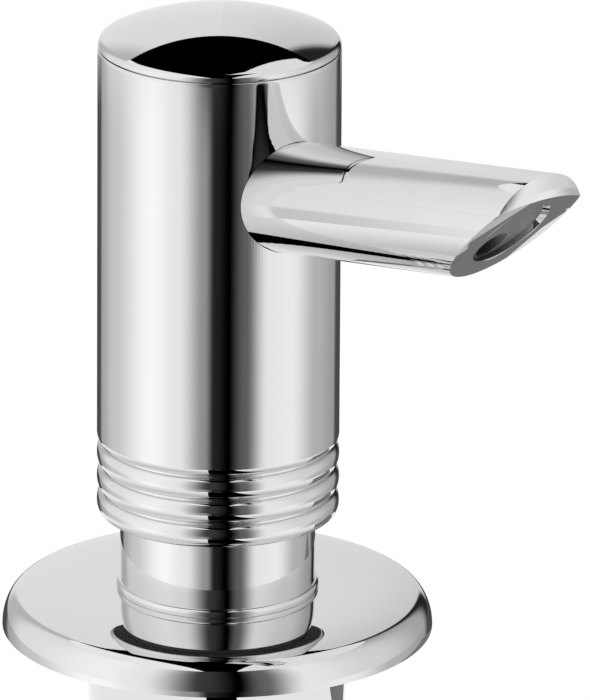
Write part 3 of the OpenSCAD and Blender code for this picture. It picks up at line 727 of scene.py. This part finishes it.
hand_over(bottle, bottle_plastic, "base", "bottle_plastic", "bottle")

# %% [markdown]
# ## The return spring
# The spring is one round wire, wound six times between the valve cage and the piston. A ring of points the size of
# the wire is wound up by a Screw modifier, and its two ends are closed. It shortens as the head is pressed.

# %% Return spring
SPRING_R, WIRE_R, SPRING_LOW, SPRING_PITCH, SPRING_TURNS = 6.2, 0.6, -46.0, 2.8, 6
leave_edit()
bpy.ops.mesh.primitive_circle_add(
    vertices=16, radius=WIRE_R * MM, location=(SPRING_R * MM, 0, SPRING_LOW * MM), rotation=(math.pi / 2, 0, 0))
spring = bpy.context.object
spring.name = spring.data.name = "spring"
bpy.ops.object.transform_apply(location=True, rotation=True, scale=True)
coil = spring.modifiers.new("coil", "SCREW")
coil.axis = "Z"
coil.angle = math.tau
coil.screw_offset = SPRING_PITCH * MM
coil.iterations = SPRING_TURNS
coil.steps = coil.render_steps = 48
bpy.ops.object.modifier_apply(modifier=coil.name)
bpy.ops.object.mode_set(mode="EDIT")
bpy.ops.mesh.select_mode(type="EDGE")
bpy.ops.mesh.select_all(action="DESELECT")
bpy.ops.mesh.select_non_manifold()
bpy.ops.mesh.edge_face_add()
bpy.ops.mesh.select_all(action="SELECT")
bpy.ops.mesh.normals_make_consistent(inside=False)
hand_over(spring, steel, "pump_unit", "steel", "return_spring")
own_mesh(spring)

# %% [markdown]
# ## Finishes of the pieces that stay
# The inside of the pump keeps its CAD solids, whose shapes are right as they are. They only need a finish in place of
# their plain colour, which goes into the material slots of their objects.

# %% Finishes on the CAD nodes
slot_finish = {
    "chrome": chrome, "grey_plastic": grey_plastic, "white_plastic": white_plastic, "bottle_plastic": bottle_plastic,
    "rubber": rubber, "brass": brass, "steel": steel}
for subpart in frame["record"]["subparts"]:
    node = frame["nodes"][subpart["node"]]
    node.data.materials.clear()
    node.data.materials.append(slot_finish[subpart["material_slot"]])

# %% [markdown]
# ## The studio
# Chrome shows what stands round it more than its own colour, so the studio decides its look. The part stands on a
# pale floor inside a round light wall. The wall is bright on both sides, dark where the lens looks through and greyer
# behind. Soft boxes hang under a dark ceiling, and the gap between them is the dark patch on the dome. A grey card
# beside the flange is what the mouth's flat face reflects, and a black one in front draws the dark line on down
# through the rings. Wall, ceiling, boxes and cards are only seen in the plating.

# %% Floor
FLOOR_Z, FLOOR_SIZE = cad_box[0].z - 0.0001, 40
SHADE_TO, WHITE_FROM = 0.10, 0.42
leave_edit()
bpy.ops.mesh.primitive_plane_add(size=FLOOR_SIZE, location=(0, 0, FLOOR_Z))
floor = bpy.context.object
floor.name = "floor"


def seen_directly(tree):
    """A mask that is 1 for rays from the lens, from metal and through glass."""
    path = add_node(tree, "ShaderNodeLightPath")
    either = add_node(tree, "ShaderNodeMath", operation="MAXIMUM")
    mask = add_node(tree, "ShaderNodeMath", operation="MAXIMUM")
    tree.links.new(path.outputs["Is Camera Ray"], either.inputs[0])
    tree.links.new(path.outputs["Is Glossy Ray"], either.inputs[1])
    tree.links.new(either.outputs["Value"], mask.inputs[0])
    tree.links.new(path.outputs["Is Transmission Ray"], mask.inputs[1])
    return mask


def pale_paint(name, shade_to, white_from):
    """White paint that keeps the part's shadow near by and turns to the plain white of the room further out."""
    paint = bpy.data.materials.new(name)
    paint.use_nodes = True
    tree = paint.node_tree
    tree.nodes.clear()
    matt = add_node(tree, "ShaderNodeBsdfDiffuse", Color=(0.86, 0.86, 0.86, 1))
    glow = add_node(tree, "ShaderNodeEmission", Color=(1, 1, 1, 1), Strength=1.0)
    place = add_node(tree, "ShaderNodeTexCoord")
    split = add_node(tree, "ShaderNodeSeparateXYZ")
    flat = add_node(tree, "ShaderNodeCombineXYZ")
    away = add_node(tree, "ShaderNodeVectorMath", operation="LENGTH")
    fade = add_node(tree, "ShaderNodeMapRange", interpolation_type="SMOOTHSTEP")
    fade.inputs["From Min"].default_value = shade_to
    fade.inputs["From Max"].default_value = white_from
    share = add_node(tree, "ShaderNodeMath", operation="MULTIPLY")
    mixed = add_node(tree, "ShaderNodeMixShader")
    out = add_node(tree, "ShaderNodeOutputMaterial")
    for source, target in (
            (place.outputs["Object"], split.inputs["Vector"]),
            (split.outputs["X"], flat.inputs["X"]), (split.outputs["Y"], flat.inputs["Y"]),
            (flat.outputs["Vector"], away.inputs[0]), (away.outputs["Value"], fade.inputs["Value"]),
            (fade.outputs["Result"], share.inputs[0]), (seen_directly(tree).outputs["Value"], share.inputs[1]),
            (share.outputs["Value"], mixed.inputs["Fac"]), (matt.outputs["BSDF"], mixed.inputs[1]),
            (glow.outputs["Emission"], mixed.inputs[2]), (mixed.outputs["Shader"], out.inputs["Surface"])):
        tree.links.new(source, target)
    return paint


floor.data.materials.append(pale_paint("pale_floor", SHADE_TO, WHITE_FROM))
print("floor at", round(FLOOR_Z / MM, 2), "mm")

# %% Light wall
WALL_R, WALL_TOP = 0.45, 0.48
LOW_TO, HIGH_FROM = -0.075, -0.05
BRIGHTEST = 2.0
leave_edit()
bpy.ops.mesh.primitive_cylinder_add(
    vertices=192, radius=WALL_R, depth=WALL_TOP - FLOOR_Z, end_fill_type="NOTHING",
    location=(0, 0, (WALL_TOP + FLOOR_Z) / 2))
wall = bpy.context.object
wall.name = "light_wall"
bpy.ops.object.transform_apply(location=True, rotation=True, scale=True)
wall.visible_camera = False

LOW_TONES = ((-180, 0.05), (-151, 0.08), (-142, 0.45), (-115, 0.7), (-65, 1.2), (-38, 1.0), (-13, 0.35), (-4, 0.02),
             (10, 0.0), (26, 0.14), (48, 1.0), (72, 1.05), (105, 0.55), (139, 0.4), (148, 0.08), (180, 0.05))
HIGH_TONES = ((-180, 0.88), (-161, 0.88), (-152, 0.56), (-143, 0.56), (-122, 0.9), (-60, 1.1), (-40, 1.0), (-8, 0.05),
              (12, 0.0), (25, 0.15), (48, 1.0), (90, 0.8), (138, 0.45), (151, 0.02), (157, 0.02), (161, 0.7),
              (180, 0.85))


def tone_ramp(tree, tones):
    """A colour ramp over the way round, from the left of the back through the lens's side to the right of the back."""
    ramp = add_node(tree, "ShaderNodeValToRGB")
    ramp.color_ramp.interpolation = "EASE"
    stops = ramp.color_ramp.elements
    while len(stops) < len(tones):
        stops.new(0.5)
    for stop, (angle, tone) in zip(stops, tones):
        stop.position = angle / 360 + 0.5
        stop.color = (tone / BRIGHTEST, tone / BRIGHTEST, tone / BRIGHTEST, 1)
    return ramp


tent = bpy.data.materials.new("light_wall_glow")
tent.use_nodes = True
tree = tent.node_tree
tree.nodes.clear()
place = add_node(tree, "ShaderNodeTexCoord")
turned = add_node(tree, "ShaderNodeMapping", vector_type="POINT")
turned.inputs["Rotation"].default_value = (0, 0, math.pi / 2 - SIDE)
split = add_node(tree, "ShaderNodeSeparateXYZ")
angle = add_node(tree, "ShaderNodeMath", operation="ARCTAN2")
way = add_node(tree, "ShaderNodeMapRange")
way.inputs["From Min"].default_value, way.inputs["From Max"].default_value = -math.pi, math.pi
low, high = tone_ramp(tree, LOW_TONES), tone_ramp(tree, HIGH_TONES)
rise = add_node(tree, "ShaderNodeMapRange", interpolation_type="SMOOTHSTEP")
rise.inputs["From Min"].default_value, rise.inputs["From Max"].default_value = LOW_TO, HIGH_FROM
both = add_node(tree, "ShaderNodeMix", data_type="RGBA")
glow = add_node(tree, "ShaderNodeEmission", Strength=BRIGHTEST)
out = add_node(tree, "ShaderNodeOutputMaterial")
for source, target in (
        (place.outputs["Object"], turned.inputs["Vector"]), (turned.outputs["Vector"], split.inputs["Vector"]),
        (split.outputs["Y"], angle.inputs[0]), (split.outputs["X"], angle.inputs[1]),
        (angle.outputs["Value"], way.inputs["Value"]), (way.outputs["Result"], low.inputs["Fac"]),
        (way.outputs["Result"], high.inputs["Fac"]), (split.outputs["Z"], rise.inputs["Value"]),
        (rise.outputs["Result"], both.inputs["Factor"]), (low.outputs["Color"], both.inputs["A"]),
        (high.outputs["Color"], both.inputs["B"]), (both.outputs["Result"], glow.inputs["Color"]),
        (glow.outputs["Emission"], out.inputs["Surface"])):
    tree.links.new(source, target)
wall.data.materials.append(tent)
print("light wall:", WALL_R, "m round the part, up to", WALL_TOP, "m")

# %% Dark ceiling and soft boxes
def glowing(name, strength):
    """A plain stage material that only glows."""
    material = bpy.data.materials.new(name)
    material.use_nodes = True
    tree = material.node_tree
    tree.nodes.clear()
    glow = add_node(tree, "ShaderNodeEmission", Color=(1, 1, 1, 1), Strength=strength)
    out = add_node(tree, "ShaderNodeOutputMaterial")
    tree.links.new(glow.outputs["Emission"], out.inputs["Surface"])
    return material


leave_edit()
bpy.ops.mesh.primitive_circle_add(
    vertices=96, radius=WALL_R + 0.02, fill_type="NGON", location=(0, 0, WALL_TOP + 0.01))
ceiling = bpy.context.object
ceiling.name = "dark_ceiling"
ceiling.data.materials.append(glowing("ceiling_dark", 0.0))

HALF = 0.5
BOX_EDGE = 0.46


def card(name, near_inner, far_inner, outer, height, strength):
    """A level panel between an inner edge, given by its near and far corners, and a straight outer edge."""
    leave_edit()
    bpy.ops.mesh.primitive_plane_add(size=2 * HALF)
    panel = bpy.context.object
    panel.name = panel.data.name = name
    bpy.ops.object.mode_set(mode="EDIT")
    for side, end, place in (
            (-1, -1, near_inner), (-1, 1, far_inner), (1, -1, (outer, near_inner[1])), (1, 1, (outer, far_inner[1]))):
        corner = Vector((side * HALF, end * HALF))
        pick(lambda at: (at.xy - corner / MM).length < 1)
        bpy.ops.transform.translate(value=(place[0] - corner.x, place[1] - corner.y, 0))
    bpy.ops.mesh.select_all(action="SELECT")
    bpy.ops.transform.rotate(value=-SIDE, orient_axis="Z", center_override=(0, 0, 0))
    bpy.ops.transform.translate(value=(0, 0, height))
    leave_edit()
    panel.data.materials.append(glowing(name + "_glow", strength))
    return panel


left_box = card("left_soft_box", (-0.06, -BOX_EDGE), (-0.24, BOX_EDGE), -BOX_EDGE, WALL_TOP, 1.0)
right_box = card("right_soft_box", (0.10, -BOX_EDGE), (0.10, 0.10), BOX_EDGE, WALL_TOP, 0.9)
far_box = card("far_soft_box", (0.01, 0.10), (0.18, 0.36), BOX_EDGE, WALL_TOP, 0.9)
grey_card = card("grey_card", (0.035, 0.025), (0.035, 0.085), 0.105, -0.03, 0.2)
black_card = card("black_card", (-0.07, -0.44), (-0.015, -0.06), 0.12, FLOOR_Z + 0.004, 0.0)
black_card.visible_diffuse = black_card.visible_shadow = False
for panel in (ceiling, left_box, right_box, far_box, grey_card, black_card):
    panel.visible_camera = False
print("ceiling and soft boxes at", WALL_TOP, "m")

# %% World
world = bpy.data.worlds.new("white_room")
bpy.context.scene.world = world
world.use_nodes = True
tree = world.node_tree
tree.nodes.clear()
white = add_node(tree, "ShaderNodeBackground", Color=(1, 1, 1, 1), Strength=1.0)
dim = add_node(tree, "ShaderNodeBackground", Color=(1, 1, 1, 1), Strength=0.6)
mixed = add_node(tree, "ShaderNodeMixShader")
out = add_node(tree, "ShaderNodeOutputWorld")
tree.links.new(seen_directly(tree).outputs["Value"], mixed.inputs["Fac"])
tree.links.new(dim.outputs["Background"], mixed.inputs[1])
tree.links.new(white.outputs["Background"], mixed.inputs[2])
tree.links.new(mixed.outputs["Shader"], out.inputs["Surface"])
print("world ready")
